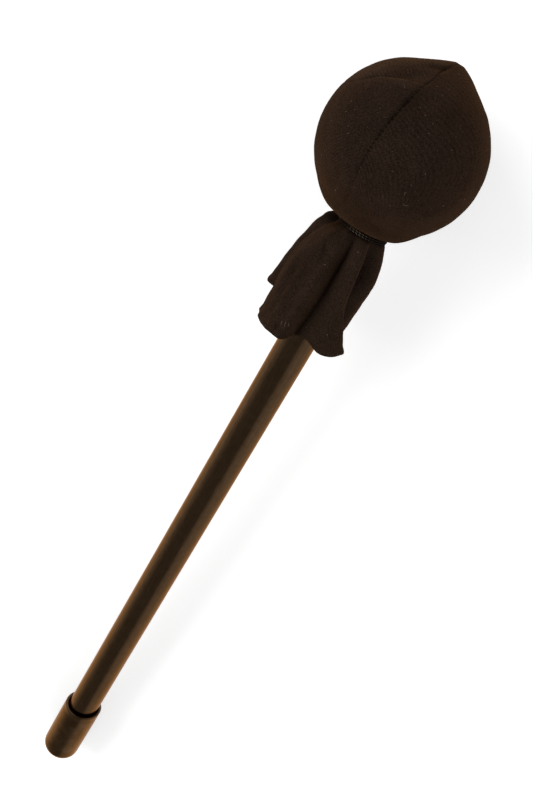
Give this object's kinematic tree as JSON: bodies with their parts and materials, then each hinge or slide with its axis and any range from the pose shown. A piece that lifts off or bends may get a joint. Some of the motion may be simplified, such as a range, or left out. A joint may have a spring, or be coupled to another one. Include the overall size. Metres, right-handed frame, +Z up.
{
  "type": "percussion mallet",
  "caption": "Soft-headed mallet with a straight tube handle, a padded ball in a sewn knit cover tied round the handle above a pleated skirt, and a rounded push-on butt cap",
  "frame": {"origin": "middle of the small flat on which the ball rests, level with the surface that the mallet lies on", "axes": "+X runs along the surface from the butt towards the ball, +Z is up, and +Y completes the right-handed set"},
  "size_m": [0.3458, 0.0545, 0.0541],
  "materials": {
    "lacquered_tube": "gloss",
    "vinyl_cap": "semi-gloss",
    "core": "matte",
    "felt_padding": "matte",
    "knit_cover": "matte",
    "tie_cord": "matte"
  },
  "bodies": {
    "root": {"handle_tube": "lacquered_tube", "end_cap": "vinyl_cap", "core_ball": "core", "padding": "felt_padding", "cover_panel_back": "knit_cover", "cover_panel_left": "knit_cover", "cover_panel_right": "knit_cover", "tie_cord": "tie_cord", "tie_knot": "tie_cord", "tail_left": "tie_cord", "tail_right": "tie_cord"}
  },
  "joints": []
}
